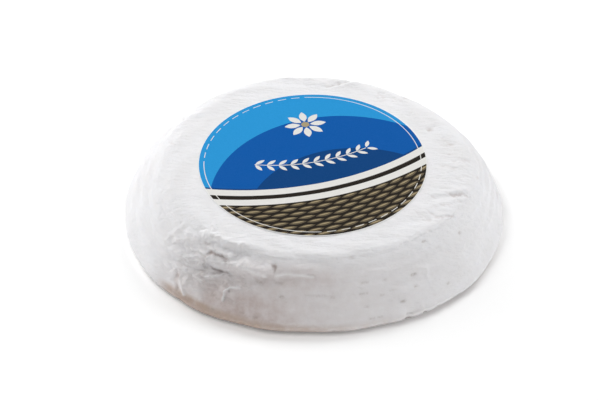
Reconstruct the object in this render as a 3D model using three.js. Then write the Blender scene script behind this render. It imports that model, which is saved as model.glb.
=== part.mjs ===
// A whole wheel of basket cheese: a low soft cheese with a white bloomy rind, wider at the foot than on
// top, whose flank keeps the faint rows of the basket it was drained in. A round printed label lies on it.
// Millimetres, +Z up. The origin is the centre of the flat face that the wheel rests on, and -Y is its front.
import * as THREE from "three";

// ---- The wheel's mean outline ----
const WIDE_RADIUS = 100; // the widest ring, low on the flank
const WIDE_HEIGHT = 5.4;
const BASE_RADIUS = 95; // the flat underside
const SHOULDER_RADIUS = 78; // where flank and top would meet if the shoulder were sharp
const SHOULDER_HEIGHT = 32.9;
const SHOULDER_REACH = 5.5; // how far in over the top the rounded shoulder goes
const SHOULDER_SHARE = 0.13; // how much of the flank the rounded shoulder takes
const FLANK_SWELL = 1.5; // how far the flank bellies out
const TOP_EDGE_HEIGHT = SHOULDER_HEIGHT + 0.8;
const CROWN = 1.3; // the top's rise from its edge to its middle
const TOP_SLOPE = 0.03; // how far the top falls for each millimetre toward the front

// ---- The label ----
const LABEL_RADIUS = 59;
const LABEL_MIDDLE = { x: -0.5, y: -2.2 };
const LABEL_THICKNESS = 0.4;
const LABEL_GAP = 0.2;

// ---- The uneven, hand-made form: swells round the wheel, each a count of bulges and where one faces ----
const PLAN_SWELLS = [
  { count: 2, size: 0.0021, facing: -77.5 },
  { count: 4, size: 0.0127, facing: -42.8 },
  { count: 5, size: 0.0027, facing: -27.4 },
  { count: 17, size: 0.003, facing: 4 },
];
const SHOULDER_SWELLS = [
  { count: 1, size: 0.0091, facing: 11 },
  { count: 2, size: 0.0342, facing: -9 },
  { count: 3, size: 0.0127, facing: -12.3 },
];

// ---- Relief. A place is [degrees round from +X, millimetres up the outline from the widest ring] ----
const BASKET_ROW = 6.2; // from one row of the basket to the next
const BASKET_DEPTH = 0.35;
const BASKET_FIRST = 4; // where the rows begin and end, up the outline
const BASKET_LAST = 33.5;
const RUMPLE_DEPTH = 0.35;
// Soft hollows, or swellings where depth is negative.
const HOLLOWS = [
  { at: [239, 17.5], wide: 17, tall: 4.5, depth: 1.5 },
  { at: [227, 21], wide: 9, tall: 3, depth: 0.9 },
  { at: [236.5, 31], wide: 9, tall: 2.5, depth: 0.9 },
  { at: [262, 15.5], wide: 26, tall: 6, depth: 0.7 },
  { at: [299.5, 0], wide: 5, tall: 5, depth: 1.6 },
  { at: [222, 1.5], wide: 7, tall: 4, depth: 0.9 },
  { at: [228.5, 7.5], wide: 8, tall: 4, depth: -1.3 },
  { at: [235.5, 10], wide: 7, tall: 4, depth: 0.9 },
  { at: [0, 4.5], wide: 6, tall: 5, depth: -1.1 },
  { at: [350, 1], wide: 7, tall: 5, depth: -1.0 },
  { at: [320.5, 14], wide: 24, tall: 8, depth: -0.6 },
];
// Ledges: the rind is folded over along a line, so it stands out above the line and sinks in below it.
const LEDGES = [
  { from: [227.5, 32.5], to: [243, 34], wide: 2.8, step: 1.2 },
  { from: [221.5, 27.5], to: [239, 27.5], wide: 3.0, step: 1.3 },
  { from: [230, 22], to: [253.5, 24], wide: 3.4, step: 1.7 },
  { from: [220, 17], to: [231, 19], wide: 3.0, step: 1.1 },
  { from: [255.5, 25.5], to: [270, 27], wide: 3.0, step: 0.8 },
  { from: [342.5, 35.5], to: [333.5, 48], wide: 2.6, step: -0.4 },
  { from: [72, 37], to: [82.5, 49], wide: 2.6, step: 0.6 },
];

// ---- How finely the surfaces are divided ----
const WHEEL_SEGMENTS = 192;
const FINEST_FACING = 250; // where the segments are closest together, in degrees round from +X
const CROWDING = 0.35;
const LABEL_SEGMENTS = 96;
const FOOT_STEPS = 3;
const FLANK_STEPS = 14;
const SHOULDER_STEPS = 7;
const TOP_RINGS = [65.5, 61.5, 40, 20];

const clamp = THREE.MathUtils.clamp;
const degrees = THREE.MathUtils.degToRad;
const bell = (x) => Math.exp(-x * x);

// Radians from one angle to another, the shorter way round.
const turned = (from, to) => Math.atan2(Math.sin(to - from), Math.cos(to - from));

const swells = (list, angle) =>
  list.reduce((sum, s) => sum + s.size * Math.cos(s.count * (angle - degrees(s.facing))), 0);

const crownHeight = (r) =>
  TOP_EDGE_HEIGHT + CROWN * (1 - (r / (SHOULDER_RADIUS - SHOULDER_REACH)) ** 2);

// Where a segment's edge lies round the wheel: closer together on the crumpled side.
const facing = (segment) => {
  const turn = (2 * Math.PI * segment) / WHEEL_SEGMENTS;
  return turn - CROWDING * Math.sin(turn - degrees(FINEST_FACING));
};

// The mean outline, from the middle of the underside, out over the foot and flank, to the middle of the top.
function outline() {
  const corner = new THREE.Vector2(SHOULDER_RADIUS, SHOULDER_HEIGHT);
  const widest = new THREE.Vector2(WIDE_RADIUS, WIDE_HEIGHT);
  const flankTop = corner.clone().lerp(widest, SHOULDER_SHARE);
  const topEdge = new THREE.Vector2(SHOULDER_RADIUS - SHOULDER_REACH, TOP_EDGE_HEIGHT);
  const foot = new THREE.EllipseCurve(
    BASE_RADIUS, WIDE_HEIGHT, WIDE_RADIUS - BASE_RADIUS, WIDE_HEIGHT, -Math.PI / 2, 0,
  );
  const belly = widest.clone().lerp(flankTop, 0.5).addScaledVector(new THREE.Vector2(1, 0), 2 * FLANK_SWELL);
  const flank = new THREE.QuadraticBezierCurve(widest, belly, flankTop);
  const shoulder = new THREE.QuadraticBezierCurve(flankTop, corner, topEdge);
  return [
    new THREE.Vector2(0, 0),
    ...foot.getPoints(FOOT_STEPS),
    ...flank.getPoints(FLANK_STEPS).slice(1),
    ...shoulder.getPoints(SHOULDER_STEPS).slice(1),
    ...TOP_RINGS.map((r) => new THREE.Vector2(r, crownHeight(r))),
    new THREE.Vector2(0, crownHeight(0)),
  ];
}

// Millimetres up the outline from the widest ring, for each of its points. It is negative on the foot.
function climbs(points) {
  const lengths = [0];
  for (let i = 1; i < points.length; i++) lengths.push(lengths[i - 1] + points[i].distanceTo(points[i - 1]));
  return lengths.map((length) => length - lengths[1 + FOOT_STEPS]);
}

// The outward normal of the outline at each of its points, in the plane of the outline.
function normals(points) {
  return points.map((point, i) => {
    const next = points[Math.min(i + 1, points.length - 1)];
    const last = points[Math.max(i - 1, 0)];
    return new THREE.Vector2(next.y - last.y, last.x - next.x).normalize();
  });
}

// Millimetres along and across a line on the flank, from its start, for a place on the flank.
function besideLine(line, angle, climb, r) {
  const [from, to] = [degrees(line.from[0]), degrees(line.to[0])];
  const start = new THREE.Vector2(turned(angle, from) * r, line.from[1] - climb);
  const run = new THREE.Vector2(turned(from, to) * r, line.to[1] - line.from[1]);
  const along = -start.dot(run) / run.length();
  const across = start.cross(run) / run.length();
  return { along, across, length: run.length() };
}

// How far the rind stands out from the mean outline at a place on the flank, shoulder or top.
function relief(angle, climb, r) {
  const free = clamp((r - LABEL_RADIUS - 3) / 7, 0, 1) * clamp(climb / 3 + 1, 0, 1);
  if (free === 0) return 0;
  const rowWander = 0.8 * Math.sin(3 * angle) + 0.5 * Math.sin(7 * angle + 1);
  const rows = Math.cos((2 * Math.PI * (climb + rowWander)) / BASKET_ROW);
  const inRows = clamp((climb - BASKET_FIRST) / 4, 0, 1) * clamp((BASKET_LAST - climb) / 6, 0, 1);
  const rowStrength = 0.65 + 0.35 * Math.sin(5 * angle + 0.6);
  let out = BASKET_DEPTH * rows * inRows * rowStrength;
  out += RUMPLE_DEPTH * Math.sin(11 * angle + 0.23 * climb) * Math.sin(0.31 * climb + 4 * angle);
  for (const hollow of HOLLOWS) {
    const around = turned(degrees(hollow.at[0]), angle) * r;
    out -= hollow.depth * bell(around / hollow.wide) * bell((climb - hollow.at[1]) / hollow.tall);
  }
  for (const ledge of LEDGES) {
    const { along, across, length } = besideLine(ledge, angle, climb, r);
    const past = Math.max(-along, along - length, 0);
    out += ledge.step * (across / ledge.wide) * bell(across / ledge.wide) * bell(past / ledge.wide) * 2.3;
  }
  return out * free;
}

// Moves a point of the mean outline to where it lies on the uneven wheel.
function onWheel(angle, point, climb, normal) {
  const outwards = clamp((point.x - SHOULDER_RADIUS) / (WIDE_RADIUS - SHOULDER_RADIUS), 0, 1);
  const pastLabel = clamp((point.x - LABEL_RADIUS) / (SHOULDER_RADIUS - LABEL_RADIUS), 0, 1);
  const upwards = clamp((point.y - WIDE_HEIGHT) / (SHOULDER_HEIGHT - WIDE_HEIGHT), 0, 1);
  const stretch = THREE.MathUtils.lerp(
    1 + swells(SHOULDER_SWELLS, angle) * pastLabel,
    1 + swells(PLAN_SWELLS, angle),
    outwards,
  );
  const out = relief(angle, climb, point.x);
  const r = point.x * stretch + normal.x * out;
  const y = r * Math.sin(angle);
  return new THREE.Vector3(r * Math.cos(angle), y, point.y + TOP_SLOPE * y * upwards + normal.y * out);
}

// The cheese: the mean outline turned round +Z, then each point moved onto the uneven wheel.
function wheelGeometry() {
  const points = outline();
  const climb = climbs(points);
  const normal = normals(points);
  const geometry = new THREE.LatheGeometry(points, WHEEL_SEGMENTS).rotateX(Math.PI / 2);
  const position = geometry.getAttribute("position");
  for (let i = 0; i < position.count; i++) {
    const ring = i % points.length;
    const segment = Math.floor(i / points.length) % WHEEL_SEGMENTS;
    const spot = onWheel(facing(segment), points[ring], climb[ring], normal[ring]);
    position.setXYZ(i, spot.x, spot.y, ring === 0 ? 0 : spot.z);
  }
  geometry.deleteAttribute("normal");
  geometry.deleteAttribute("uv");
  return geometry;
}

// The label: a thin disc that lies on the top and follows its gentle crown and its slope.
function labelGeometry() {
  const radii = [0, 20, 40, LABEL_RADIUS];
  const under = radii.map((r) => new THREE.Vector2(r, LABEL_GAP));
  const over = radii.map((r) => new THREE.Vector2(r, LABEL_GAP + LABEL_THICKNESS)).reverse();
  const geometry = new THREE.LatheGeometry([...under, ...over], LABEL_SEGMENTS).rotateX(Math.PI / 2);
  geometry.translate(LABEL_MIDDLE.x, LABEL_MIDDLE.y, 0);
  const position = geometry.getAttribute("position");
  for (let i = 0; i < position.count; i++) {
    const [x, y] = [position.getX(i), position.getY(i)];
    position.setZ(i, position.getZ(i) + crownHeight(Math.hypot(x, y)) + TOP_SLOPE * y);
  }
  return geometry;
}

const rind = new THREE.MeshStandardMaterial({ color: 0xf1f0ee, roughness: 0.92, metalness: 0 });
const paper = new THREE.MeshStandardMaterial({ color: 0x1667a8, roughness: 0.55, metalness: 0 });

const cheese = new THREE.Mesh(wheelGeometry(), rind);
cheese.name = "cheese_wheel";
const label = new THREE.Mesh(labelGeometry(), paper);
label.name = "top_label";

const wheel = new THREE.Group();
wheel.add(cheese, label);

export default wheel;
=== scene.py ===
import math

import bpy
import numpy as np
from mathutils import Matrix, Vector, noise
from mathutils.geometry import delaunay_2d_cdt


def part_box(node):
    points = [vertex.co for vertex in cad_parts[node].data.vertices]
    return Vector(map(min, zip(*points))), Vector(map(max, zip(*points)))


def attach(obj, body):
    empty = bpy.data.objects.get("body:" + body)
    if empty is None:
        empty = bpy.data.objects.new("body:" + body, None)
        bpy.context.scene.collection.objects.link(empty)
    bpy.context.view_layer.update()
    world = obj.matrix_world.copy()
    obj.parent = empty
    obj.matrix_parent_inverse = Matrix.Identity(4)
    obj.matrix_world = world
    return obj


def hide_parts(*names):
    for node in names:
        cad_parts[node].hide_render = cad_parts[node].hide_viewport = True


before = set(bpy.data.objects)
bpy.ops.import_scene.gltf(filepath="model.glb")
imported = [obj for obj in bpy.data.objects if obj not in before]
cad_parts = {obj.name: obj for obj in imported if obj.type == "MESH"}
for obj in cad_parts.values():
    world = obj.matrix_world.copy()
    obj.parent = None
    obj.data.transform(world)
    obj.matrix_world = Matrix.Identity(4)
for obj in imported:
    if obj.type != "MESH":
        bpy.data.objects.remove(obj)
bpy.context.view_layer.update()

MM = 0.001
CHEESE, LABEL = "cheese_wheel", "top_label"

# ---- The wheel's mean outline, as in the CAD ----
WIDE_RADIUS, WIDE_HEIGHT = 100.0, 5.4  # the widest ring, low on the flank
BASE_RADIUS = 95.0  # the flat underside
SHOULDER_RADIUS, SHOULDER_HEIGHT = 78.0, 32.9  # where flank and top would meet if the shoulder were sharp
SHOULDER_REACH = 5.5  # how far in over the top the rounded shoulder goes
SHOULDER_SHARE = 0.13  # how much of the flank the rounded shoulder takes
FLANK_SWELL = 1.5  # how far the flank bellies out
TOP_EDGE_HEIGHT = SHOULDER_HEIGHT + 0.8
CROWN = 1.3  # the top's rise from its edge to its middle
TOP_SLOPE = 0.03  # how far the top falls for each millimetre toward the front

# ---- The label ----
label_low, label_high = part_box(LABEL)
LABEL_RADIUS = (label_high.x - label_low.x) / 2 / MM
LABEL_MIDDLE = np.array([label_low.x + label_high.x, label_low.y + label_high.y]) / 2 / MM
LABEL_TOP, LABEL_FOOT = 0.32, 0.02  # how far its face and its lower edge are above the top of the cheese

# ---- The uneven form, as in the CAD: (count of bulges, size, degrees where one faces) ----
PLAN_SWELLS = [(2, 0.0021, -77.5), (4, 0.0127, -42.8), (5, 0.0027, -27.4), (17, 0.003, 4)]
SHOULDER_SWELLS = [(1, 0.0091, 11), (2, 0.0342, -9), (3, 0.0127, -12.3)]

# ---- Relief, as in the CAD ----
# A place is (degrees round from +X, climb), and a climb is millimetres up the outline from its widest ring.
BASKET_ROW, BASKET_DEPTH = 6.2, 0.35
BASKET_FIRST, BASKET_LAST = 4.0, 33.5
RUMPLE_DEPTH = 0.35
# Soft hollows: (place, width, height, depth), or swellings where depth is negative.
HOLLOWS = [
    ((239, 17.5), 17, 4.5, 1.5),
    ((227, 21), 9, 3, 0.9),
    ((236.5, 31), 9, 2.5, 0.9),
    ((262, 15.5), 26, 6, 0.7),
    ((299.5, 0), 5, 5, 1.6),
    ((222, 1.5), 7, 4, 0.9),
    ((228.5, 7.5), 8, 4, -1.3),
    ((235.5, 10), 7, 4, 0.9),
    ((0, 4.5), 6, 5, -1.1),
    ((350, 1), 7, 5, -1.0),
    ((320.5, 14), 24, 8, -0.6),
]
# Ledges: the rind is folded over along a path, so it stands out on one side of it: (path, width, step).
LEDGES = [
    ([(227.5, 32.5), (243, 34)], 2.8, 1.2),
    ([(221.5, 27.5), (239, 27.5)], 3.0, 1.3),
    ([(230, 22), (253.5, 24)], 3.4, 1.7),
    ([(220, 17), (231, 19)], 3.0, 1.1),
    ([(255.5, 25.5), (270, 27)], 3.0, 0.8),
    ([(342.5, 35.5), (333.5, 48)], 2.6, -0.4),
    ([(72, 37), (82.5, 49)], 2.6, 0.6),
]

# ---- Finer relief, which only the dressed wheel has ----
# At the front and on the right the shoulder is crisper than the mean: its height, reach and share there.
CRISP_SHOULDER = (33.2, 2.2, 0.045)
CRISP_FACING, CRISP_SPREAD = 288, 50  # degrees
# Depths of the texture all over the rind, of its crumpled patches, and of the basket's marks.
STRATA_DEPTH, DIMPLE_DEPTH, BLOOM_DEPTH = 0.2, 0.16, 0.07
CRUMPLE_DEPTH, CRACK_DEPTH = 1.3, 0.8
MARK_DEPTH = 0.35
# Lips: the skin stands out on one side of a path and drops sharply on the other: (path, width, rise).
LIPS = [
    ([(218, 22.7), (222, 26.8), (228, 30.2)], 1.3, 0.7),
    ([(222.4, 23.8), (226.8, 23.9), (231, 24.8)], 1.2, 0.8),
    ([(229, 32.5), (230.6, 34.9), (233.2, 34.8)], 1.0, 0.5),
    ([(231.2, 32.8), (234.6, 34.4)], 0.9, 0.4),
    ([(229.6, 28.2), (232.4, 28.2), (234.8, 29.2), (237.8, 29.2), (240.2, 28.2)], 1.3, 0.9),
    ([(235.6, 32.4), (237.6, 34.4), (241.6, 34.2)], 1.1, 0.7),
    ([(233, 24.2), (237.4, 25.3), (241, 25.6), (245.2, 25.4), (249.4, 24.6), (253.5, 24.2)], 1.5, 0.9),
    ([(232.6, 20.6), (235, 21.4), (238, 21.4), (241.2, 21.4)], 1.2, 0.6),
    ([(220.2, 14.8), (224.5, 16.2), (228.6, 17.2), (232, 18.5)], 1.2, 0.6),
    ([(224.2, 12.4), (229.2, 13.3), (233.2, 12.9)], 1.2, 0.5),
    ([(258, 2.6), (262, 1.8), (274, 1)], 0.8, 0.2),
    ([(240, 36.2), (248, 35), (256, 34.2), (265, 34), (276, 34.2), (290, 34.4), (304, 34.6)], 1.0, 0.18),
    ([(304, 34.8), (314, 35), (324, 34.6), (333, 34.4), (341, 34.6)], 1.0, 0.18),
]
# Ridges, thin raised edges of loose skin: (path, width, rise).
RIDGES = [
    ([(234.2, 15.4), (237.6, 17.7), (239, 19.4)], 0.6, 0.9),
    ([(242.8, 7.8), (242.2, 12), (243.6, 14.8), (246.4, 15.8)], 0.6, 1.1),
    ([(257.4, 24.8), (261, 26.2), (266, 26), (270, 25.4)], 0.7, 0.9),
    ([(240.6, 29), (242.6, 33.4), (242.8, 36.9)], 0.8, 0.7),
    ([(226.4, 9.6), (227, 8.3), (228.4, 5.6), (230.2, 2.5)], 0.8, 0.9),
    ([(214.2, 21.5), (215.4, 26.5), (216.6, 31.1)], 1.3, 0.3),
    ([(253.2, 35.3), (255.8, 27.1)], 1.6, 0.3),
    ([(304.4, 22.2), (308.4, 19.9), (307.2, 12.6)], 0.8, 0.25),
]
# Creases, which are narrow valleys: (path, width, depth).
CREASES = [
    ([(228.4, 30.9), (230.2, 29.3)], 0.8, 0.6),
    ([(232.4, 27), (234.8, 28), (237.8, 28), (239.8, 27)], 0.8, 0.7),
    ([(232.8, 28.2), (232, 24.8)], 0.8, 0.5),
    ([(234.4, 20.2), (238, 20.2), (240.4, 20.2)], 0.8, 0.35),
    ([(224.8, 10.3), (226, 7.6), (227, 4.4)], 1.5, 0.6),
    ([(222.4, 0.6), (228.2, 1.1), (234.4, 0.6)], 0.8, 0.4),
    ([(242.6, 31.7), (247, 32.1)], 0.7, 0.35),
    ([(256, 29.6), (256.8, 27)], 0.8, 0.6),
    ([(250.8, 21.2), (253.4, 20.9)], 0.9, 0.5),
    ([(334.2, 46.8), (336.8, 42), (339, 39.1), (342, 34.8)], 0.9, 0.45),
    ([(327.8, 44.4), (331.4, 40.5), (336.4, 36.4)], 0.8, 0.3),
    ([(317.2, 43.2), (323.4, 38.6), (328.4, 34.2)], 0.9, 0.35),
    ([(349.4, 40.7), (355.5, 29)], 0.9, 0.25),
    ([(352.6, 45.6), (353.4, 42)], 0.8, 0.2),
    ([(0.2, 44.4), (2.5, 33)], 0.8, 0.15),
    ([(83.2, 47.8), (77.4, 42), (72, 34.8)], 1.0, 0.35),
    ([(60.8, 42), (55, 45.6)], 1.0, 0.25),
    ([(154, 31), (151, 36), (150, 41.2)], 1.0, 0.15),
]
# Dark marks left by the basket: (degrees, climb, length round the wheel, darkness).
MARKS = [
    (284.2, 33.7, 1.0, 0.54),
    (287, 20.6, 3.2, 0.45),
    (286, 15.4, 3.6, 0.45),
    (303.4, 18.8, 1.8, 0.78),
    (302.6, 13, 1.0, 0.62),
    (293.8, 20.1, 1.0, 0.36),
    (297.4, 7.6, 1.6, 0.78),
    (286.2, 8.8, 1.6, 0.45),
    (287.2, 2.3, 2.4, 0.45),
    (289.6, 2.3, 2.0, 0.45),
    (313, 7.1, 0.9, 0.54),
    (312.2, 31.8, 1.6, 0.7),
    (315.8, 25.9, 2.6, 0.23),
    (326.6, 25.3, 0.9, 0.7),
    (295.2, 14.3, 3.0, 0.23),
    (291.6, 13, 1.4, 0.32),
    (271, 16.1, 10.0, 0.36),
    (276.2, 15.1, 1.4, 0.36),
    (251.8, 20.6, 2.6, 0.55),
    (258.6, 21.7, 3.2, 0.45),
    (260.2, 15.1, 1.4, 0.7),
    (256.4, 28.7, 1.6, 0.55),
    (241, 7.8, 1.4, 0.62),
    (239, 8.5, 1.2, 0.54),
    (240, 1.8, 2.2, 0.62),
    (249.2, 4.2, 1.4, 0.45),
    (253.4, 3.3, 1.6, 0.7),
    (235.8, 27.3, 4.5, 0.62),
    (229.4, 30.2, 1.6, 0.54),
    (237, 19.6, 4.0, 0.3),
    (225.6, 9.3, 2.0, 0.54),
    (231.4, 23.7, 2.0, 0.36),
]
# Patches of crumpled skin: (place, width, height, strength).
CRUMPLES = [
    ((235, 19), 22, 14, 1.0),
    ((229, 36), 12, 6, 0.4),
    ((257, 26), 14, 8, 0.35),
]
# Lumps of loose skin: (place, width, height, rise).
LUMPS = [
    ((230.2, 9.5), 2.6, 1.9, 0.8),
    ((233.2, 7.3), 3.0, 1.6, 0.7),
    ((235.4, 4.9), 2.4, 1.4, 0.5),
    ((236.5, 23.2), 3.5, 1.8, 0.5),
    ((222.5, 20.5), 3.0, 1.8, 0.5),
    ((226.5, 27.0), 2.6, 1.8, 0.5),
    ((238.6, 31.6), 2.4, 1.6, 0.5),
    ((246.5, 28.2), 3.0, 1.6, 0.5),
    ((240.4, 34.0), 3.2, 1.6, 0.8),
    ((226.8, 14.5), 3.0, 2.0, 0.6),
]
# Notches in the foot's rim: (degrees, width, depth).
NOTCHES = [
    (298, 1.8, 1.2),
    (303.5, 1.2, 0.9),
    (308, 1.2, 0.5),
    (316, 1.4, 0.4),
    (276, 2.0, 0.4),
    (228, 2.5, 0.5),
]
NOTCH_CLIMB, NOTCH_HEIGHT = -3, 4
# Where the foot's edge is turned up from the floor, outside a radius: (degrees, spread, radius, rise).
TURNED_UP = (318, 17, 88, 0.4)

# ---- Detail scattered by chance, the same in each run ----
RANDOM_SEED = 7
# The side that the photo doesn't show has the same kinds of detail, between these degrees.
FAR_SIDE = (42, 138)
FAR_LIPS, FAR_RIDGES, FAR_MARKS = 10, 12, 24
FAR_MARK_ROWS = [3.5, 9.4, 14.2, 19.6, 25.6]  # how far up the outline those marks are
# Faint wrinkles: (count, degrees, climbs, lengths, heading, spread of headings, deepest).
WRINKLES = [
    (34, (276, 572), (4, 48), (5, 18), 0, 12, 0.16),
    (46, (-42, 100), (36, 47), (3, 10), 90, 24, 0.24),
    (18, (160, 226), (26, 46), (5, 16), 25, 30, 0.14),
]

# ---- How finely the surfaces are divided ----
WHEEL_SEGMENTS = 860
FINEST_FACING = 250  # degrees where the segments are closest together
CROWDING = 0.35
UNDER_RADII = [40, 66, 80, 88, 92]
FOOT_STEPS, FLANK_STEPS, SHOULDER_STEPS = 10, 58, 22
TOP_STEPS = 16
UNDER_LABEL_RADII = [54, 40, 20]
WIDEST_RING = len(UNDER_RADII) + FOOT_STEPS

# ---- Camera, in the photo's frame ----
CAMERA_TILT = math.radians(37)
CAMERA_DISTANCE = 1000.0
CAMERA_LENS = 115.2  # with a sensor 36 mm wide
TARGET_HEIGHT = 20.0
AIM_RIGHT, AIM_UP = -6.98, -9.64  # from the target to what the image's middle shows


# ======== Shape of the cheese ========

def bell(x):
    """1 at 0, and falling to 0 within about 2 either way."""
    return np.exp(-x * x)


def wrapped(angle):
    """The same angle, from half a turn back to half a turn on."""
    return (angle + math.pi) % (2 * math.pi) - math.pi


def swells(table, angle):
    return sum(size * np.cos(count * (angle - math.radians(degrees))) for count, size, degrees in table)


def crown_height(r):
    return TOP_EDGE_HEIGHT + CROWN * (1 - (r / (SHOULDER_RADIUS - SHOULDER_REACH)) ** 2)


def top_height(flat):
    """The height of the cheese's top under flat points near its middle."""
    return crown_height(np.hypot(*flat.T)) + TOP_SLOPE * flat.T[1]


def quadratic(start, bend, end, steps):
    t = np.linspace(0, 1, steps + 1)[:, None]
    return (1 - t) ** 2 * start + 2 * t * (1 - t) * bend + t ** 2 * end


def outline(shoulder_height=SHOULDER_HEIGHT, reach=SHOULDER_REACH, share=SHOULDER_SHARE):
    """Rows of (radius, height) from the underside round the foot to the top, without the two poles."""
    corner = np.array([SHOULDER_RADIUS, shoulder_height])
    widest = np.array([WIDE_RADIUS, WIDE_HEIGHT])
    flank_top = corner + share * (widest - corner)
    top_edge = np.array([SHOULDER_RADIUS - reach, crown_height(SHOULDER_RADIUS - reach)])
    belly = (widest + flank_top) / 2 + np.array([2 * FLANK_SWELL, 0])
    under = np.array([(r, 0.0) for r in UNDER_RADII])
    turn = np.linspace(0, math.pi / 2, FOOT_STEPS + 1)
    foot_reach = WIDE_RADIUS - BASE_RADIUS
    foot = np.column_stack([BASE_RADIUS + foot_reach * np.sin(turn), WIDE_HEIGHT * (1 - np.cos(turn))])
    flank = quadratic(widest, belly, flank_top, FLANK_STEPS)[1:]
    shoulder = quadratic(flank_top, corner, top_edge, SHOULDER_STEPS)[1:]
    beside_label = np.linspace(top_edge[0], LABEL_RADIUS, TOP_STEPS + 1)[1:]
    top_radii = np.concatenate([beside_label, UNDER_LABEL_RADII])
    top = np.column_stack([top_radii, crown_height(top_radii)])
    return np.vstack([under, foot, flank, shoulder, top])


def arc_lengths(points):
    """The way along a row of points, or along many such rows side by side."""
    steps = np.linalg.norm(np.diff(points, axis=0), axis=-1)
    return np.concatenate([np.zeros_like(steps[:1]), np.cumsum(steps, axis=0)])


def outward_normals(points):
    tangent = np.gradient(points, axis=0)
    normal = np.column_stack([tangent[:, 1], -tangent[:, 0]])
    return normal / np.hypot(*normal.T)[:, None]


class Places:
    """Every place on the grid of the wheel: its angle, its climb up the outline and its mean radius."""

    def __init__(self, angle, climb, radius):
        self.angle, self.climb, self.radius = angle, climb, radius

    def around(self, degrees):
        """Millimetres round the wheel from that direction, above 0 counterclockwise of it."""
        return -wrapped(math.radians(degrees) - self.angle) * self.radius

    def facing(self, degrees, spread):
        """1 on the side that faces that way, and falling to 0 within about two spreads."""
        return bell(wrapped(self.angle - math.radians(degrees)) / math.radians(spread))

    def mound(self, place, width, tall, height):
        """That height at a place, falling to 0 about 2 widths away round the wheel and 2 tall away up it."""
        degrees, climb = place
        return height * bell(self.around(degrees) / width) * bell((self.climb - climb) / tall)

    def beside(self, path):
        """How far a path is, and how far across it: above 0 to the left of its run, seen from outside."""
        nearest = np.full(self.angle.shape, np.inf)
        across = np.zeros(self.angle.shape)
        for (from_degrees, from_climb), (to_degrees, to_climb) in zip(path, path[1:]):
            start_x, start_y = -self.around(from_degrees), from_climb - self.climb
            run_x = wrapped(math.radians(to_degrees - from_degrees)) * self.radius
            run_y = to_climb - from_climb
            length = np.hypot(run_x, run_y)
            along = np.clip(-(start_x * run_x + start_y * run_y) / length ** 2, 0, 1)
            distance = np.hypot(start_x + along * run_x, start_y + along * run_y)
            side = (start_x * run_y - start_y * run_x) / length
            across = np.where(distance < nearest, side, across)
            nearest = np.minimum(distance, nearest)
        return nearest, across

    def unrolled(self):
        """Every place with the surface laid out flat: millimetres round it, millimetres up it, and 0."""
        around = self.around(FINEST_FACING)
        return np.stack([around, self.climb, np.zeros(around.shape)], axis=-1).reshape(-1, 3)


def ends_fade(nearest, across, width):
    """1 beside a path and falling to 0 beyond its ends."""
    past = np.sqrt(np.maximum(nearest ** 2 - across ** 2, 0))
    return bell(past / width)


def main_relief(places):
    """The CAD's relief: basket rows, rumples, hollows and ledges."""
    angle, climb = places.angle, places.climb
    row_wander = 0.8 * np.sin(3 * angle) + 0.5 * np.sin(7 * angle + 1)
    rows = np.cos(2 * math.pi * (climb + row_wander) / BASKET_ROW)
    in_rows = np.clip((climb - BASKET_FIRST) / 4, 0, 1) * np.clip((BASKET_LAST - climb) / 6, 0, 1)
    row_strength = 0.65 + 0.35 * np.sin(5 * angle + 0.6)
    out = BASKET_DEPTH * rows * in_rows * row_strength
    out += RUMPLE_DEPTH * np.sin(11 * angle + 0.23 * climb) * np.sin(0.31 * climb + 4 * angle)
    for place, width, tall, depth in HOLLOWS:
        out -= places.mound(place, width, tall, depth)
    for path, width, step in LEDGES:
        nearest, across = places.beside(path)
        out += 2.3 * step * (across / width) * bell(across / width) * ends_fade(nearest, across, width)
    return out


def lip(nearest, across, width, height):
    """Rises slowly on the left of a path, and drops within a third of a width on the right of it."""
    side = np.where(across > 0, across / (2.2 * width), -across / (0.35 * width))
    groove = 0.5 * bell((across + 0.9 * width) / (0.7 * width))
    return height * (bell(side) - groove) * ends_fade(nearest, across, width)


def scattered_paths(rng, count, directions, climbs, lengths, heading, spread):
    """Bowed paths scattered over part of the wheel. A heading of 0 runs round it, and 90 runs up it."""
    mean_radius = 85.0
    paths = []
    for _ in range(count):
        degrees, climb = rng.uniform(*directions), rng.uniform(*climbs)
        half, lean = rng.uniform(*lengths) / 2, math.radians(rng.normal(heading, spread))
        bow = rng.normal(0, 0.25) * half
        reach, rise = math.degrees(half * math.cos(lean) / mean_radius), half * math.sin(lean)
        aside = math.degrees(bow * math.sin(lean) / mean_radius)
        middle = (degrees - aside, climb + bow * math.cos(lean))
        paths.append([(degrees - reach, climb - rise), middle, (degrees + reach, climb + rise)])
    return paths


def scattered_marks(rng):
    """More of the basket's marks, in its rows, on the far side."""
    marks = []
    for _ in range(FAR_MARKS):
        degrees, climb = rng.uniform(*FAR_SIDE), rng.choice(FAR_MARK_ROWS) + rng.normal(0, 0.7)
        marks.append((degrees, climb, rng.uniform(0.9, 3.2), rng.uniform(0.2, 0.6)))
    return marks


def fine_noise(points, size, octaves):
    """Fractal noise, mostly from -1 to 1, at points in millimetres, with bumps of about that size."""
    return np.array([noise.fractal(Vector(p) / size, 0.9, 2.1, octaves) for p in points])


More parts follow.
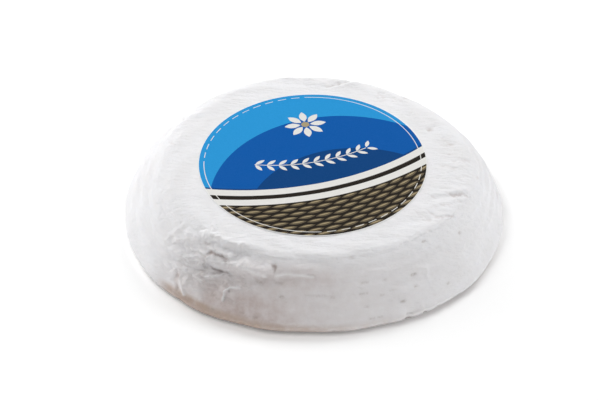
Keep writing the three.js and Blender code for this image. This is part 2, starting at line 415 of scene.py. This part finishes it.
def wheel_grid():
    """Points and masks of the wheel on its grid of rings and segments."""
    soft, crisp = outline(), outline(*CRISP_SHOULDER)
    turn = np.linspace(0, 2 * math.pi, WHEEL_SEGMENTS, endpoint=False)
    angle = turn - CROWDING * np.sin(turn - math.radians(FINEST_FACING))
    crispness = np.exp(-(wrapped(angle - math.radians(CRISP_FACING)) / math.radians(CRISP_SPREAD)) ** 4)
    mean = soft[:, None] + (crisp - soft)[:, None] * crispness[:, None]
    normal = outward_normals(soft)[:, None] * (1 - crispness)[:, None]
    normal = normal + outward_normals(crisp)[:, None] * crispness[:, None]
    mean_radius, mean_height = mean[..., 0], mean[..., 1]
    lengths = arc_lengths(mean)
    climb = lengths - lengths[WIDEST_RING]
    places = Places(np.broadcast_to(angle, climb.shape), climb, mean_radius)
    relief, masks = wheel_relief(places, mean_height)

    outwards = np.clip((mean_radius - SHOULDER_RADIUS) / (WIDE_RADIUS - SHOULDER_RADIUS), 0, 1)
    past_label = np.clip((mean_radius - LABEL_RADIUS) / (SHOULDER_RADIUS - LABEL_RADIUS), 0, 1)
    upwards = np.clip((mean_height - WIDE_HEIGHT) / (SHOULDER_HEIGHT - WIDE_HEIGHT), 0, 1)
    top_stretch = 1 + swells(SHOULDER_SWELLS, places.angle) * past_label
    stretch = top_stretch + (1 + swells(PLAN_SWELLS, places.angle) - top_stretch) * outwards
    radius = mean_radius * stretch + normal[..., 0] * relief
    x, y = radius * np.cos(places.angle), radius * np.sin(places.angle)
    height = mean_height + TOP_SLOPE * y * upwards + normal[..., 1] * relief
    height = height + turned_up(places, mean_height)
    return np.stack([x, y, np.maximum(height, 0)], axis=-1), masks


def turned_up(places, height):
    """How far the outer foot is turned up from the floor."""
    degrees, spread, inner_radius, rise = TURNED_UP
    outer = np.clip((places.radius - inner_radius) / (BASE_RADIUS - inner_radius), 0, 1)
    low = np.clip((WIDE_HEIGHT + 2 - height) / WIDE_HEIGHT, 0, 1)
    return rise * places.facing(degrees, spread) * (outer * low)


def wandering(places):
    """The same places, each moved a little, so that what follows a path there wanders beside it."""
    spots, shape = places.unrolled(), places.climb.shape
    sideways = fine_noise(spots, 4.5, 3).reshape(shape)
    upwards = fine_noise(spots + [70, 0, 0], 4.5, 3).reshape(shape)
    angle = places.angle + 1.6 * sideways / places.radius
    return Places(angle, places.climb + 1.5 * upwards, places.radius)


def rind_texture(places, height):
    """Low relief all over the rind, made of strata, dimples and bloom, and then its dimples alone."""
    shape = places.climb.shape
    x, y = places.radius * np.cos(places.angle), places.radius * np.sin(places.angle)
    spots = np.stack([x, y, height], axis=-1).reshape(-1, 3)
    strata = fine_noise(spots * [0.35, 0.35, 1.5], 5.0, 4).reshape(shape)
    dimples = fine_noise(spots, 8.0, 3).reshape(shape)
    bloom = fine_noise(spots, 2.2, 3).reshape(shape)
    at_front = 0.25 + 0.75 * np.clip(0.6 - 0.6 * np.sin(places.angle + 0.25), 0, 1)
    below_top = np.clip((36 - places.climb) / 4, 0.3, 1)
    texture = STRATA_DEPTH * strata * at_front * below_top + DIMPLE_DEPTH * dimples + BLOOM_DEPTH * bloom
    return texture, dimples


def crumpled_skin(places):
    """How crumpled each place is, and the folds and cracks of that loose skin, which are only there."""
    patch = np.zeros(places.climb.shape)
    for place, width, tall, strength in CRUMPLES:
        patch = np.maximum(patch, places.mound(place, width, tall, strength))
    spots, near = places.unrolled(), patch.ravel() > 0.02
    bend = fine_noise(spots[near] * [0.5, 1, 1], 7.0, 2)
    bent = spots[near] + np.outer(bend, [2.0, 3.0, 0])
    folds, cracks = np.zeros(near.shape), np.zeros(near.shape)
    broad = fine_noise(bent * [0.55, 1.1, 1], 4.2, 2)
    narrow = np.abs(fine_noise(bent * [0.5, 1.2, 1] + [0, 30, 3], 3.2, 3))
    folds[near] = broad + 1.3 * narrow - 0.4
    crossing = fine_noise(bent * [0.5, 1.1, 1] + [40, 0, 9], 5.5, 3)
    cracks[near] = np.clip(1 - np.abs(crossing) / 0.1, 0, 1)
    return patch, patch * folds.reshape(patch.shape), patch * cracks.reshape(patch.shape)


def folded_skin(places, bent, rng):
    """How far the lips, ridges and lumps stand out, and where their crests are."""
    folds, crests = np.zeros(places.climb.shape), np.zeros(places.climb.shape)
    far_lips = scattered_paths(rng, FAR_LIPS, FAR_SIDE, (8, 40), (14, 34), 0, 7)
    lips = LIPS + [(path, rng.uniform(1.3, 2.2), rng.uniform(0.2, 0.4)) for path in far_lips]
    for path, width, rise in lips:
        nearest, across = bent.beside(path)
        folds += lip(nearest, across, width, rise)
        crests += rise * bell((across - 0.2 * width) / (0.7 * width)) * ends_fade(nearest, across, width)
    far_ridges = scattered_paths(rng, FAR_RIDGES, FAR_SIDE, (5, 32), (3, 9), 0, 28)
    ridges = RIDGES + [(path, 0.8, rng.uniform(0.2, 0.4)) for path in far_ridges]
    for path, width, rise in ridges:
        ridge = rise * bell(places.beside(path)[0] / width)
        folds += ridge
        crests += ridge
    for place, width, tall, rise in LUMPS:
        lump = bent.mound(place, width, tall, rise)
        folds += lump
        crests += 0.7 * lump
    return folds, crests


def creased_skin(bent, rng):
    """How deep the creases and the scattered wrinkles are."""
    valleys = np.zeros(bent.climb.shape)
    for path, width, depth in CREASES:
        valleys += depth * bell(bent.beside(path)[0] / width)
    for *scatter, deepest in WRINKLES:
        for path in scattered_paths(rng, *scatter):
            depth = rng.uniform(0.3, 1.0) * deepest
            valleys += depth * bell(bent.beside(path)[0] / rng.uniform(0.6, 1.1))
    return valleys


def basket_marks(places, rng):
    """How dark the rind is where the basket marked it, from 0 to 1: a narrow core with a faint halo."""
    marks = np.zeros(places.climb.shape)
    for degrees, climb, length, strength in MARKS + scattered_marks(rng):
        past = np.maximum(np.abs(places.around(degrees)) - length / 2, 0)
        above = places.climb - climb
        core = bell(np.hypot(past / 0.6, above / 0.6))
        halo = bell(np.hypot(past / 2, above / 1.8))
        marks = np.maximum(marks, strength * (0.8 * core + 0.12 * halo))
    return marks


def rim_wear_and_shade(places):
    """The foot's rim at the front left, where the bloom is rubbed off and the beige cheese shows; its colour
    there is also painted darker, as painted shade on that low edge.
    """
    top = 2.6 + 2.0 * places.facing(232, 14)
    begins = np.clip(wrapped(places.angle - math.radians(218)) / math.radians(6), 0, 1)
    return np.clip((top - places.climb) / 2.4, 0, 1) * begins * places.facing(240, 38)


def thin_bloom_and_front_shade(places):
    """Where the rind is painted pinkish and darker: low on the front left, where the white bloom is thin and
    the colour is also painted shade, and a little all over the front flank, as painted shade of the side
    away from the lights.
    """
    patch = 0.74 * places.facing(246, 19) * bell((places.climb - 4) / 16)
    patch += 0.3 * places.facing(266, 13) * bell((places.climb - 25) / 6)
    # Painted shade: the front flank, the side away from the lights, is painted a little pinker and darker.
    front = 0.28 * places.facing(268, 38) * np.clip((34 - places.climb) / 10, 0, 1)
    return np.clip(patch + front, 0, 1)


def wheel_relief(places, height):
    """How far the rind stands out, and the masks that its material reads."""
    rng = np.random.default_rng(RANDOM_SEED)
    bent = wandering(places)
    texture, dimples = rind_texture(places, height)
    patch, crumple, cracks = crumpled_skin(places)
    folds, crests = folded_skin(places, bent, rng)
    valleys = creased_skin(bent, rng)
    marks = basket_marks(places, rng)

    texture += CRUMPLE_DEPTH * crumple - CRACK_DEPTH * cracks
    uneven = np.clip(1 + 1.1 * dimples, 0.3, 1.7)
    folds, valleys = folds * uneven, valleys * uneven
    for degrees, width, depth in NOTCHES:
        folds -= places.mound((degrees, NOTCH_CLIMB), width, NOTCH_HEIGHT, depth)

    # The underside has no relief, and under the label a tenth of the finer one is left.
    past_label, climb = places.radius - LABEL_RADIUS, places.climb
    free = np.clip((past_label - 3) / 7, 0, 1) * np.clip(climb / 3 + 1, 0, 1)
    fine_free = np.clip(past_label / 4, 0.1, 1) * np.clip(climb / 4 + 1.6, 0, 1)
    relief = main_relief(places) * free + (texture + folds - valleys - MARK_DEPTH * marks) * fine_free
    masks = {
        "rim_wear_shade": rim_wear_and_shade(places),
        # where the rind is painted pinkish and darker: thin bloom, and painted shade on the front
        "thin": thin_bloom_and_front_shade(places),
        # where the foot curls under, which the material paints dark as the contact shadow
        "under": np.clip((-2.4 - climb) / 2.0, 0, 1),
        "crumpled": patch,
        # where the crests of the lips, ridges and lumps are, which the material paints pale as a painted
        # highlight
        "crests": np.clip(crests, 0, 1),
        # where the creases and cracks are, which the material paints darker as painted shade
        "valleys": np.clip(valleys + 0.5 * cracks, 0, 1),
        "marks": marks,
    }
    return relief, masks


# ======== Meshes ========

def grid_faces(rings, segments):
    """Quads between neighbouring rings, all round."""
    ring = np.arange(rings - 1)[:, None] * segments
    here = np.arange(segments)
    after = (here + 1) % segments
    corners = [ring + here, ring + after, ring + segments + after, ring + segments + here]
    return np.stack(corners, axis=-1).reshape(-1, 4)


def cap_faces(first, segments, pole, upwards):
    """Triangles from a ring to the pole that closes it."""
    here = first + np.arange(segments)
    after = first + (np.arange(segments) + 1) % segments
    poles = np.full(segments, pole)
    return np.stack([here, after, poles] if upwards else [after, here, poles], axis=-1)


def new_piece(name, points, faces, materials):
    mesh = bpy.data.meshes.new(name)
    mesh.from_pydata((np.asarray(points) * MM).tolist(), [], [list(map(int, f)) for f in faces])
    for material in materials:
        mesh.materials.append(material)
    mesh.shade_smooth()
    mesh.update()
    piece = bpy.data.objects.new(name, mesh)
    bpy.context.scene.collection.objects.link(piece)
    return piece


def lay_flat(piece, upper, reach_up, reach_down, directions):
    """A UV map of two discs: the upper faces, and smaller in a corner the lower ones."""
    upper_middle, upper_size = np.array([0.45, 0.45]), 0.44
    lower_middle, lower_size = np.array([0.885, 0.885]), 0.105
    mesh = piece.data
    corner_vertex = np.zeros(len(mesh.loops), int)
    mesh.loops.foreach_get("vertex_index", corner_vertex)
    sides = np.zeros(len(mesh.polygons), int)
    mesh.polygons.foreach_get("loop_total", sides)
    in_upper = np.repeat(upper, sides)[:, None]
    up = upper_middle + upper_size * (reach_up / reach_up.max())[:, None] * directions
    down = lower_middle + lower_size * (reach_down / reach_down.max())[:, None] * directions
    uv = np.where(in_upper, up[corner_vertex], down[corner_vertex])
    layer = mesh.uv_layers.new(name="OFBake")
    layer.data.foreach_set("uv", uv.astype(np.float32).ravel())


def store(piece, name, values):
    attribute = piece.data.attributes.new(name, "FLOAT", "POINT")
    attribute.data.foreach_set("value", np.asarray(values, np.float32).ravel())


def make_cheese(material):
    grid, masks = wheel_grid()
    rings, segments, _ = grid.shape
    under_pole, top_pole = rings * segments, rings * segments + 1
    points = np.vstack([grid.reshape(-1, 3), [[0, 0, 0], [0, 0, crown_height(0)]]])
    quads = grid_faces(rings, segments)
    under = cap_faces(0, segments, under_pole, upwards=False)
    top = cap_faces((rings - 1) * segments, segments, top_pole, upwards=True)
    piece = new_piece("cheese_rind", points, [*quads, *under, *top], [material])
    for name, mask in masks.items():
        store(piece, name, np.append(mask.ravel(), [0, 0]))

    profile = outline()
    from_under = profile[0, 0] + arc_lengths(profile)
    from_top = from_under[-1] + profile[-1, 0] - from_under
    reach_down = np.append(np.repeat(np.minimum(from_under, from_under[WIDEST_RING]), segments), [0, 0])
    reach_up = np.append(np.repeat(np.minimum(from_top, from_top[WIDEST_RING]), segments), [0, 0])
    flat = points[:, :2] / np.maximum(np.hypot(*points[:, :2].T), 1e-9)[:, None]
    face_ring = np.repeat(np.arange(rings - 1), segments)
    upper = np.concatenate([face_ring >= WIDEST_RING, np.zeros(segments, bool), np.ones(segments, bool)])
    lay_flat(piece, upper, reach_up, reach_down, flat)
    return piece


# ======== The label's print: plain fields and shapes, each a polygon of one ink ========

PRINT_RADIUS = LABEL_RADIUS - 0.4  # a narrow unprinted margin at the cut
INKS = {
    "paper_white": (0.86, 0.86, 0.85),
    "sky_blue": (0.022, 0.300, 0.660),
    "mid_blue": (0.003, 0.098, 0.385),
    "navy": (0.003, 0.055, 0.205),
    "cream": (0.77, 0.76, 0.73),
    "umber": (0.020, 0.016, 0.012),
    "straw": (0.125, 0.100, 0.064),
    "pale_straw": (0.40, 0.32, 0.185),
}
STRAIGHT_DOWN = -math.pi / 2
BAND_CENTRE = np.array([-34.0, 104.0])
BAND_RADIUS = 127.0  # of the striped band's upper edge, from which its stripes are measured
BAND_STRIPES = [(0.0, 1.1, "navy"), (1.1, 5.6, "cream"), (5.6, 8.6, "umber"), (8.6, 13.0, "cream")]
WEAVE_GAP = 1.9  # from the band to the first row
WEAVE_ROW, WEAVE_STEP = 3.4, 9.0  # from row to row, and from strand to strand
WEAVE_ROWS, WEAVE_COLUMNS = 16, range(-10, 18)  # enough to fill the label below the band
STRAND_WIDTH, GLINT_WIDTH = 2.5, 0.8
RING_RADIUS, RING_WIDTH = 56.0, 0.4
RING_STROKES = 48
PAPER, PRINTED = 0, 1  # the first two shapes: the paper's own disc, and the part of it that is printed
FILL_STEP = 4.0


def ring_points(centre, radius, count):
    turn = np.linspace(0, 2 * math.pi, count, endpoint=False)
    return np.column_stack([centre[0] + radius * np.cos(turn), centre[1] + radius * np.sin(turn)])


def arc_strip(centre, inner, outer, from_turn, to_turn, count):
    """A strip between two arcs about one centre."""
    turn = np.linspace(from_turn, to_turn, count)
    ray = np.column_stack([np.cos(turn), np.sin(turn)])
    return np.vstack([centre + inner * ray, (centre + outer * ray)[::-1]])


def lens(middle, heading, length, width, count=7):
    """A pointed oval, such as a leaf or one visible stretch of a strand."""
    t = np.linspace(-1, 1, count)
    side = width / 2 * (1 - t ** 2)
    outline_points = np.vstack([np.column_stack([t, side]), np.column_stack([t, -side])[::-1][1:-1]])
    along = np.array([math.cos(heading), math.sin(heading)])
    across = np.array([-along[1], along[0]])
    lengthways = np.outer(outline_points[:, 0] * length / 2, along)
    return middle + lengthways + np.outer(outline_points[:, 1], across)


def woven_field():
    """Rows of strands that pass over and under, below the band and bent like it."""
    shapes = []
    first_radius = BAND_RADIUS + BAND_STRIPES[-1][1] + WEAVE_GAP
    for row in range(WEAVE_ROWS):
        radius = first_radius + row * WEAVE_ROW
        step = WEAVE_STEP / radius
        for column in WEAVE_COLUMNS:
            turn = STRAIGHT_DOWN + (column + 0.5 * (row % 2)) * step
            middle = BAND_CENTRE + radius * np.array([math.cos(turn), math.sin(turn)])
            if np.hypot(*middle) > LABEL_RADIUS + WEAVE_STEP:
                continue
            heading = turn + math.pi / 2 + 0.1
            shapes.append(("straw", lens(middle, heading, 1.02 * WEAVE_STEP, STRAND_WIDTH)))
            glint = lens(middle + [0, 0.3], heading, 0.72 * WEAVE_STEP, GLINT_WIDTH)
            shapes.append(("pale_straw", glint))
    return shapes


def flower(middle, size, petals):
    shapes = []
    for k in range(petals):
        heading = 2 * math.pi * k / petals + 0.2
        out = np.array([math.cos(heading), math.sin(heading)])
        shapes.append(("cream", lens(middle + 0.62 * size * out, heading, 0.78 * size, 0.36 * size, 9)))
    shapes.append(("pale_straw", ring_points(middle, 0.2 * size, 20)))
    return shapes


def garland(centre, radius, from_turn, to_turn, pairs):
    """A curved stem with leaves on both sides."""
    shapes = [("cream", arc_strip(centre, radius - 0.25, radius + 0.25, from_turn, to_turn, 40))]
    for turn in np.linspace(from_turn, to_turn, pairs):
        base = centre + radius * np.array([math.cos(turn), math.sin(turn)])
        for side in (-1, 1):
            heading = turn + math.pi / 2 - side * 0.75
            out = np.array([math.cos(heading), math.sin(heading)])
            shapes.append(("cream", lens(base + 3.4 * out, heading, 5.8, 2.1, 9)))
    return shapes


def print_shapes():
    """Every shape of the print in the order in which it is laid down, as (ink, polygon)."""
    shapes = [
        ("paper_white", ring_points((0, 0), LABEL_RADIUS, 240)),
        ("sky_blue", ring_points((0, 0), PRINT_RADIUS, 240)),
        ("mid_blue", ring_points((17, -30), 69, 160)),
        ("navy", ring_points((24, -46), 57, 140)),
    ]
    left, right = STRAIGHT_DOWN - 0.42, STRAIGHT_DOWN + 1.0
    shapes.append(("umber", arc_strip(BAND_CENTRE, BAND_RADIUS, BAND_RADIUS + 90, left, right, 90)))
    shapes += woven_field()
    for start, end, ink in BAND_STRIPES:
        upper, lower = BAND_RADIUS + start, BAND_RADIUS + end
        shapes.append((ink, arc_strip(BAND_CENTRE, upper, lower, left, right, 90)))
    shapes += flower(np.array([-4.0, 31.0]), 11.0, 8)
    shapes += garland(np.array([-20.0, 78.0]), 82.0, STRAIGHT_DOWN - 0.12, STRAIGHT_DOWN + 0.62, 11)
    ring_inner, ring_outer = RING_RADIUS - RING_WIDTH / 2, RING_RADIUS + RING_WIDTH / 2
    for k in range(RING_STROKES):
        start = 2 * math.pi * k / RING_STROKES
        drawn = 1.0 if k % 24 < 12 else 0.62  # a quarter turn unbroken, then a quarter in strokes
        end = start + 2 * math.pi / RING_STROKES * drawn
        shapes.append(("cream", arc_strip(np.zeros(2), ring_inner, ring_outer, start, end, 6)))
    return shapes


def counterclockwise(polygon):
    x, y = polygon.T
    turns_left = np.dot(x, np.roll(y, -1)) > np.dot(y, np.roll(x, -1))
    return polygon if turns_left else polygon[::-1]


def cut_print():
    """The label's disc cut along every shape: flat points, faces, and the ink of each face."""
    shapes = print_shapes()
    points, faces = [], []
    for _, polygon in shapes:
        faces.append(list(range(len(points), len(points) + len(polygon))))
        points += [Vector(p) for p in counterclockwise(polygon)]
    for radius in np.arange(FILL_STEP, LABEL_RADIUS - FILL_STEP / 2, FILL_STEP):
        points += [Vector(p) for p in ring_points((0, 0), radius, int(2 * math.pi * radius / FILL_STEP))]
    cut, _, cells, _, _, sources = delaunay_2d_cdt(points, [], faces, 0, 1e-4, True)
    on_label = [(cell, source) for cell, source in zip(cells, sources) if PAPER in source]
    inks = [shapes[max(source) if PRINTED in source else PAPER][0] for _, source in on_label]
    used = sorted({v for cell, _ in on_label for v in cell})
    number = {v: i for i, v in enumerate(used)}
    return np.array([cut[v][:] for v in used]), [[number[v] for v in cell] for cell, _ in on_label], inks


def rim_of(faces):
    """The vertices round the edge of a flat sheet of faces, in order."""
    edges = {(a, b) for face in faces for a, b in zip(face, face[1:] + face[:1])}
    follows = {a: b for a, b in edges if (b, a) not in edges}
    rim = [min(follows)]
    while follows[rim[-1]] != rim[0]:
        rim.append(follows[rim[-1]])
    return rim


def make_label(inks):
    """A thin disc whose upper face is cut along the print's shapes, with a white cut edge."""
    flat, faces, ink_names = cut_print()
    rim = rim_of(faces)
    flat = flat + LABEL_MIDDLE
    height = top_height(flat) + label_wave(flat)
    top = np.column_stack([flat, height + LABEL_TOP])
    foot = np.column_stack([flat[rim], height[rim] + LABEL_FOOT])
    middle = [[*LABEL_MIDDLE, top_height(LABEL_MIDDLE) + LABEL_FOOT]]
    wall, underside = [], []
    for k, corner in enumerate(rim):
        after = (k + 1) % len(rim)
        wall.append([len(flat) + k, len(flat) + after, rim[after], corner])
        underside.append([len(flat) + after, len(flat) + k, len(flat) + len(rim)])
    piece = new_piece("label_print", np.vstack([top, foot, middle]), faces + wall + underside, inks)
    order = list(INKS)
    ink_of = [order.index(name) for name in ink_names] + [0] * (len(wall) + len(underside))
    piece.data.polygons.foreach_set("material_index", ink_of)
    return piece


def label_wave(flat):
    """How far the paper rises and sinks, in wide soft waves, as it isn't quite flat."""
    return 0.1 * fine_noise(np.column_stack([flat, np.zeros(len(flat))]), 26.0, 2)


# ======== Materials ========

class Nodes:
    """A small helper that adds and joins the nodes of one material."""

    def __init__(self, name):
        self.material = bpy.data.materials.new(name)
        self.material.use_nodes = True
        self.tree = self.material.node_tree
        self.shader = self.tree.nodes["Principled BSDF"]

    def add(self, kind, inputs=None, **settings):
        node = self.tree.nodes.new(kind)
        for key, value in settings.items():
            setattr(node, key, value)
        for key, value in (inputs or {}).items():
            self.put(value, node.inputs[key])
        return node

    def put(self, value, socket):
        """Links an output to a socket, or sets the socket's own value."""
        if isinstance(value, bpy.types.NodeSocket):
            self.tree.links.new(value, socket)
        else:
            socket.default_value = value

    def place(self, scale):
        coordinates = self.add("ShaderNodeTexCoord").outputs["Object"]
        return self.add("ShaderNodeMapping", {"Vector": coordinates, "Scale": scale}).outputs["Vector"]

    def noise(self, size, detail, scale=(1, 1, 1), roughness=0.5):
        """Noise with features of about size millimetres, on the object."""
        inputs = {
            "Vector": self.place(scale),
            "Scale": 1 / (size * MM),
            "Detail": detail,
            "Roughness": roughness,
        }
        return self.add("ShaderNodeTexNoise", inputs).outputs["Fac"]

    def mask(self, name):
        return self.add("ShaderNodeAttribute", attribute_name=name).outputs["Fac"]

    def maths(self, operation, first, second=0.0):
        node = self.add("ShaderNodeMath", operation=operation)
        self.put(first, node.inputs[0])
        self.put(second, node.inputs[1])
        return node.outputs["Value"]

    def between(self, value, low, high, to_low=0.0, to_high=1.0):
        inputs = {"Value": value, "From Min": low, "From Max": high, "To Min": to_low, "To Max": to_high}
        return self.add("ShaderNodeMapRange", inputs).outputs["Result"]

    def mix(self, share, first, second):
        node = self.add("ShaderNodeMix", data_type="RGBA")
        self.put(share, node.inputs["Factor"])
        self.put(first, node.inputs[6])
        self.put(second, node.inputs[7])
        return node.outputs[2]

    def bump(self, height, distance, normal=None):
        """Relief of that many millimetres for a height from 0 to 1, on top of another bump's normal."""
        inputs = {"Height": height, "Distance": distance * MM}
        if normal is not None:
            inputs["Normal"] = normal
        return self.add("ShaderNodeBump", inputs).outputs["Normal"]


def rgba(colour):
    return (*colour, 1.0)


def rind_material():
    n = Nodes("white_rind")
    white = rgba((0.893, 0.891, 0.910))
    thin_white = rgba((0.862, 0.856, 0.866))
    pink_and_painted_shade = rgba((0.560, 0.470, 0.445))
    rim_beige_and_painted_shade = rgba((0.520, 0.410, 0.345))
    painted_crest_highlight = rgba((0.860, 0.845, 0.850))
    painted_crease_shade = rgba((0.540, 0.455, 0.425))
    painted_contact_shadow = rgba((0.160, 0.120, 0.105))
    brown = rgba((0.300, 0.235, 0.200))

    colour = n.mix(n.between(n.noise(16, 4), 0.35, 0.7), white, thin_white)
    patchy = n.between(n.noise(5, 4, roughness=0.6), 0.3, 0.7, 0.7, 1.15)
    # Thin bloom low on the front left, and painted shade over the front flank: both painted pinkish and
    # darker.
    colour = n.mix(n.maths("MULTIPLY", n.mask("thin"), patchy), colour, pink_and_painted_shade)
    # Partly real wear, where the beige cheese shows on the rim, and partly painted shade: the rim is painted
    # darker than that cheese.
    colour = n.mix(n.maths("MULTIPLY", n.mask("rim_wear_shade"), patchy), colour, rim_beige_and_painted_shade)
    # Painted highlight: the crests of the folds are painted pale, set off from the pinkish, shaded rind
    # round them.
    colour = n.mix(n.mask("crests"), colour, painted_crest_highlight)
    # Painted shadow: the foot's under-edge is painted dark brown all round, as the contact shadow where the
    # wheel meets the floor.
    colour = n.mix(n.maths("MULTIPLY", n.mask("under"), 0.85), colour, painted_contact_shadow)
    # Painted shade: the creases and cracks are painted a darker brownish grey, the deeper the darker.
    colour = n.mix(n.between(n.mask("valleys"), 0.12, 1.0, 0.0, 0.75), colour, painted_crease_shade)
    broken = n.between(n.noise(0.9, 3), 0.3, 0.6, 0.2, 0.75)
    colour = n.mix(n.maths("MULTIPLY", n.mask("marks"), broken), colour, brown)
    n.put(colour, n.shader.inputs["Base Color"])
    n.put(n.between(n.noise(3, 3), 0.3, 0.7, 0.82, 0.96), n.shader.inputs["Roughness"])
    n.shader.inputs["Specular IOR Level"].default_value = 0.25
    n.shader.inputs["Subsurface Weight"].default_value = 0.12
    n.shader.inputs["Subsurface Radius"].default_value = (1.0, 0.9, 0.8)
    n.shader.inputs["Subsurface Scale"].default_value = 0.8 * MM

    wrinkles = n.bump(n.noise(2.4, 5, scale=(0.4, 1.2, 1.5), roughness=0.65), 0.75)
    from_crease = n.maths("ABSOLUTE", n.maths("SUBTRACT", n.noise(3.0, 4, scale=(0.7, 0.7, 1.3)), 0.5))
    crinkles = n.bump(n.maths("MULTIPLY", from_crease, n.mask("crumpled")), 3.0, normal=wrinkles)
    velvet = n.bump(n.noise(0.6, 4, roughness=0.65), 0.16, normal=crinkles)
    n.put(velvet, n.shader.inputs["Normal"])
    return n.material


def ink_material(name, colour):
    """Printed coated paper: an even ink with a faint mottle, and the paper's slight unevenness."""
    n = Nodes("print_" + name)
    lighter = rgba([min(1.0, c * 1.06 + 0.004) for c in colour])
    mottle = n.between(n.noise(0.7, 3), 0.3, 0.7)
    n.put(n.mix(mottle, rgba(colour), lighter), n.shader.inputs["Base Color"])
    n.put(n.between(n.noise(9, 2), 0.3, 0.7, 0.44, 0.54), n.shader.inputs["Roughness"])
    n.shader.inputs["Specular IOR Level"].default_value = 0.05
    n.put(n.bump(n.noise(1.4, 3), 0.02), n.shader.inputs["Normal"])
    return n.material


def floor_material():
    n = Nodes("studio_floor")
    colour = n.mix(n.noise(60, 2), rgba((0.97, 0.97, 0.97)), rgba((0.985, 0.985, 0.985)))
    n.put(colour, n.shader.inputs["Base Color"])
    n.shader.inputs["Roughness"].default_value = 0.9
    n.shader.inputs["Specular IOR Level"].default_value = 0.1
    n.shader.inputs["Emission Color"].default_value = (1, 1, 1, 1)
    n.shader.inputs["Emission Strength"].default_value = FLOOR_GLOW
    return n.material


# ======== Floor, lights and camera ========

# Name, azimuth (0 is the front and 90 the right), elevation and power in watts.
SOFTBOXES = [
    ("front_box", 0, 15, 14),
    ("right_box", 90, 15, 23),
    ("right_back_box", 138, 40, 27),
    ("left_back_low_box", 225, 15, 29),
    ("left_back_high_box", 225, 40, 20),
    ("left_high_box", 296, 62, 23),
]
BOX_DISTANCE, BOX_SIZE = 2500, 1400
WORLD_LIGHT = 0.0  # the air gives no light: the softboxes do, and faintly the floor
FLOOR_GLOW = 0.16  # so that the shadows on the studio floor stay pale
FLOOR_HALF = 3000.0


def make_floor():
    low, high = -FLOOR_HALF, FLOOR_HALF
    corners = [(low, low, 0), (high, low, 0), (high, high, 0), (low, high, 0)]
    floor = new_piece("floor", corners, [(0, 1, 2, 3)], [floor_material()])


def soft_light(name, azimuth, elevation, power):
    """A square softbox that looks at the wheel."""
    light = bpy.data.lights.new(name, "AREA")
    light.energy, light.size = power, BOX_SIZE * MM
    lamp = bpy.data.objects.new(name, light)
    turn, tilt = math.radians(azimuth), math.radians(elevation)
    back = Vector((math.sin(turn) * math.cos(tilt), -math.cos(turn) * math.cos(tilt), math.sin(tilt)))
    lamp.location = back * BOX_DISTANCE * MM
    lamp.rotation_mode = "QUATERNION"
    lamp.rotation_quaternion = back.to_track_quat("Z", "Y")
    bpy.context.scene.collection.objects.link(lamp)


def make_lights():
    world = bpy.data.worlds.new("studio_air")
    world.use_nodes = True
    world.node_tree.nodes["Background"].inputs["Strength"].default_value = WORLD_LIGHT
    bpy.context.scene.world = world
    for softbox in SOFTBOXES:
        soft_light(*softbox)


def make_camera():
    camera = bpy.data.cameras.new("photo_camera")
    camera.lens, camera.sensor_width = CAMERA_LENS, 36
    camera.clip_start, camera.clip_end = 0.05, 50
    holder = bpy.data.objects.new("photo_camera", camera)
    target = Vector((0, 0, TARGET_HEIGHT))
    back = Vector((0, -math.cos(CAMERA_TILT), math.sin(CAMERA_TILT)))
    up = Vector((0, math.sin(CAMERA_TILT), math.cos(CAMERA_TILT)))
    place = target + CAMERA_DISTANCE * back
    aim = target + Vector((AIM_RIGHT, 0, 0)) + AIM_UP * up
    holder.location = place * MM
    holder.rotation_mode = "QUATERNION"
    holder.rotation_quaternion = (place - aim).to_track_quat("Z", "Y")
    bpy.context.scene.collection.objects.link(holder)
    bpy.context.scene.camera = holder


make_camera()
make_lights()
make_floor()

cheese = make_cheese(rind_material())
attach(cheese, "root")
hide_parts(CHEESE)

label = make_label([ink_material(name, colour) for name, colour in INKS.items()])
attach(label, "root")
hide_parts(LABEL)

bpy.context.scene.view_settings.view_transform = "Standard"
bpy.context.scene.view_settings.look = "None"
